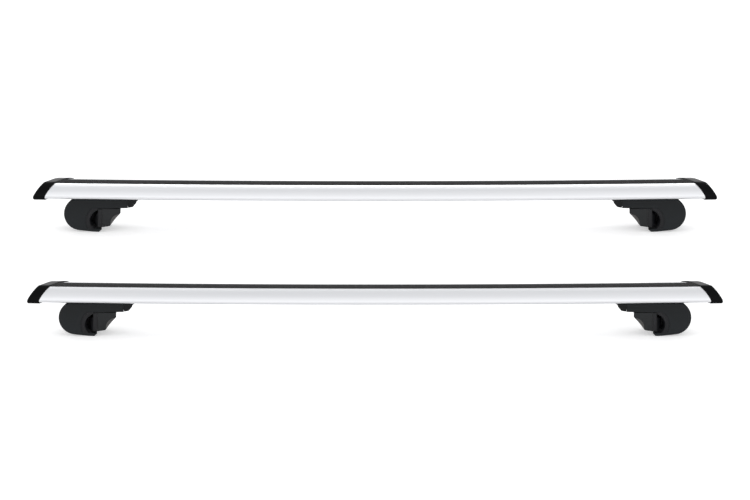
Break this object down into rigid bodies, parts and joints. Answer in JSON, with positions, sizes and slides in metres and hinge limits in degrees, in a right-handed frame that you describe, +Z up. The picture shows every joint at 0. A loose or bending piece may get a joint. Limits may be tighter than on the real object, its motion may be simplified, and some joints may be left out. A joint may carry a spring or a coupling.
{
  "type": "roof ski rack",
  "caption": "Pair of aero roof crossbars with rubber-topped T-slots, raked end caps and lockable rail-clamp feet, the base of a roof ski rack.",
  "frame": {"origin": "on the ground plane under the middle of the pair, where the soles stand", "axes": "+X across the car along the bars, +Y rearwards, +Z up"},
  "size_m": [1.1978, 0.784, 0.0881],
  "materials": {
    "anodised_aluminium": "satin anodised extrusion",
    "strip_rubber": "ribbed rubber, matt",
    "cap_plastic": "gloss black moulding",
    "foot_plastic": "fine textured black moulding",
    "pad_rubber": "matt rubber",
    "jaw_casting": "black powder coat",
    "cover_plastic": "satin black moulding",
    "zinc_steel": "zinc plated",
    "black_steel": "black oxide",
    "chrome_lock": "plated lock face"
  },
  "bodies": {
    "front_bar": {"front_crossbar": "anodised_aluminium", "front_rubber_strip": "strip_rubber", "front_left_end_cap": "cap_plastic", "front_right_end_cap": "cap_plastic"},
    "rear_bar": {"rear_crossbar": "anodised_aluminium", "rear_rubber_strip": "strip_rubber", "rear_left_end_cap": "cap_plastic", "rear_right_end_cap": "cap_plastic"},
    "front_left_foot": {"front_left_foot_housing": "foot_plastic", "front_left_saddle_gasket": "pad_rubber", "front_left_slot_plate": "zinc_steel", "front_left_slot_bolts": "black_steel", "front_left_rail_pad": "pad_rubber", "front_left_clamp_nut": "zinc_steel", "front_left_cover_hinge_pin": "zinc_steel"},
    "front_left_jaw": {"front_left_clamp_jaw": "jaw_casting", "front_left_jaw_pad": "pad_rubber"},
    "front_left_screw": {"front_left_clamp_screw": "zinc_steel"},
    "front_left_cover": {"front_left_key_cover": "cover_plastic"},
    "front_left_lock": {"front_left_lock_cylinder": "chrome_lock"},
    "front_right_foot": {"front_right_foot_housing": "foot_plastic", "front_right_saddle_gasket": "pad_rubber", "front_right_slot_plate": "zinc_steel", "front_right_slot_bolts": "black_steel", "front_right_rail_pad": "pad_rubber", "front_right_clamp_nut": "zinc_steel", "front_right_cover_hinge_pin": "zinc_steel"},
    "front_right_jaw": {"front_right_clamp_jaw": "jaw_casting", "front_right_jaw_pad": "pad_rubber"},
    "front_right_screw": {"front_right_clamp_screw": "zinc_steel"},
    "front_right_cover": {"front_right_key_cover": "cover_plastic"},
    "front_right_lock": {"front_right_lock_cylinder": "chrome_lock"},
    "rear_left_foot": {"rear_left_foot_housing": "foot_plastic", "rear_left_saddle_gasket": "pad_rubber", "rear_left_slot_plate": "zinc_steel", "rear_left_slot_bolts": "black_steel", "rear_left_rail_pad": "pad_rubber", "rear_left_clamp_nut": "zinc_steel", "rear_left_cover_hinge_pin": "zinc_steel"},
    "rear_left_jaw": {"rear_left_clamp_jaw": "jaw_casting", "rear_left_jaw_pad": "pad_rubber"},
    "rear_left_screw": {"rear_left_clamp_screw": "zinc_steel"},
    "rear_left_cover": {"rear_left_key_cover": "cover_plastic"},
    "rear_left_lock": {"rear_left_lock_cylinder": "chrome_lock"},
    "rear_right_foot": {"rear_right_foot_housing": "foot_plastic", "rear_right_saddle_gasket": "pad_rubber", "rear_right_slot_plate": "zinc_steel", "rear_right_slot_bolts": "black_steel", "rear_right_rail_pad": "pad_rubber", "rear_right_clamp_nut": "zinc_steel", "rear_right_cover_hinge_pin": "zinc_steel"},
    "rear_right_jaw": {"rear_right_clamp_jaw": "jaw_casting", "rear_right_jaw_pad": "pad_rubber"},
    "rear_right_screw": {"rear_right_clamp_screw": "zinc_steel"},
    "rear_right_cover": {"rear_right_key_cover": "cover_plastic"},
    "rear_right_lock": {"rear_right_lock_cylinder": "chrome_lock"}
  },
  "joints": [
    {"name": "bar_spacing", "type": "slide", "parent": "front_bar", "child": "rear_bar", "axis": [0, 1, 0], "range_m": [-0.15, 0.2]},
    {"name": "front_left_foot_slide", "type": "slide", "parent": "front_bar", "child": "front_left_foot", "axis": [0.9999, 0, -0.0125], "range_m": [-0.004, 0.06]},
    {"name": "front_left_jaw_slide", "type": "slide", "parent": "front_left_foot", "child": "front_left_jaw", "axis": [1, 0, 0], "range_m": [0, 0.025]},
    {"name": "front_left_screw_turn", "type": "hinge", "parent": "front_left_jaw", "child": "front_left_screw", "pos_m": [-0.4655, -0.35, 0.0485], "axis": [1, 0, 0], "range_deg": [0, 9001]},
    {"name": "front_left_cover_swing", "type": "hinge", "parent": "front_left_foot", "child": "front_left_cover", "pos_m": [-0.4293, -0.3233, 0.0505], "axis": [0, 0, 1], "range_deg": [0, 100]},
    {"name": "front_left_lock_turn", "type": "hinge", "parent": "front_left_cover", "child": "front_left_lock", "pos_m": [-0.4231, -0.368, 0.0502], "axis": [1, 0, 0], "range_deg": [0, 90]},
    {"name": "front_right_foot_slide", "type": "slide", "parent": "front_bar", "child": "front_right_foot", "axis": [-0.9999, 0, -0.0125], "range_m": [-0.004, 0.06]},
    {"name": "front_right_jaw_slide", "type": "slide", "parent": "front_right_foot", "child": "front_right_jaw", "axis": [-1, 0, 0], "range_m": [0, 0.025]},
    {"name": "front_right_screw_turn", "type": "hinge", "parent": "front_right_jaw", "child": "front_right_screw", "pos_m": [0.4655, -0.35, 0.0485], "axis": [-1, 0, 0], "range_deg": [0, 9001]},
    {"name": "front_right_cover_swing", "type": "hinge", "parent": "front_right_foot", "child": "front_right_cover", "pos_m": [0.4293, -0.3233, 0.0505], "axis": [0, 0, -1], "range_deg": [0, 100]},
    {"name": "front_right_lock_turn", "type": "hinge", "parent": "front_right_cover", "child": "front_right_lock", "pos_m": [0.4231, -0.368, 0.0502], "axis": [1, 0, 0], "range_deg": [0, 90]},
    {"name": "rear_left_foot_slide", "type": "slide", "parent": "rear_bar", "child": "rear_left_foot", "axis": [0.9999, 0, -0.0125], "range_m": [-0.004, 0.06]},
    {"name": "rear_left_jaw_slide", "type": "slide", "parent": "rear_left_foot", "child": "rear_left_jaw", "axis": [1, 0, 0], "range_m": [0, 0.025]},
    {"name": "rear_left_screw_turn", "type": "hinge", "parent": "rear_left_jaw", "child": "rear_left_screw", "pos_m": [-0.4655, 0.35, 0.0485], "axis": [1, 0, 0], "range_deg": [0, 9001]},
    {"name": "rear_left_cover_swing", "type": "hinge", "parent": "rear_left_foot", "child": "rear_left_cover", "pos_m": [-0.4293, 0.3767, 0.0505], "axis": [0, 0, 1], "range_deg": [0, 100]},
    {"name": "rear_left_lock_turn", "type": "hinge", "parent": "rear_left_cover", "child": "rear_left_lock", "pos_m": [-0.4231, 0.332, 0.0502], "axis": [1, 0, 0], "range_deg": [0, 90]},
    {"name": "rear_right_foot_slide", "type": "slide", "parent": "rear_bar", "child": "rear_right_foot", "axis": [-0.9999, 0, -0.0125], "range_m": [-0.004, 0.06]},
    {"name": "rear_right_jaw_slide", "type": "slide", "parent": "rear_right_foot", "child": "rear_right_jaw", "axis": [-1, 0, 0], "range_m": [0, 0.025]},
    {"name": "rear_right_screw_turn", "type": "hinge", "parent": "rear_right_jaw", "child": "rear_right_screw", "pos_m": [0.4655, 0.35, 0.0485], "axis": [-1, 0, 0], "range_deg": [0, 9001]},
    {"name": "rear_right_cover_swing", "type": "hinge", "parent": "rear_right_foot", "child": "rear_right_cover", "pos_m": [0.4293, 0.3767, 0.0505], "axis": [0, 0, -1], "range_deg": [0, 100]},
    {"name": "rear_right_lock_turn", "type": "hinge", "parent": "rear_right_cover", "child": "rear_right_lock", "pos_m": [0.4231, 0.332, 0.0502], "axis": [1, 0, 0], "range_deg": [0, 90]}
  ],
  "couplings": [
    {"joint": "front_left_screw_turn", "follows": "front_left_jaw_slide", "rad_per_m": 6283.2},
    {"joint": "front_right_screw_turn", "follows": "front_right_jaw_slide", "rad_per_m": 6283.2},
    {"joint": "rear_left_screw_turn", "follows": "rear_left_jaw_slide", "rad_per_m": 6283.2},
    {"joint": "rear_right_screw_turn", "follows": "rear_right_jaw_slide", "rad_per_m": 6283.2}
  ]
}
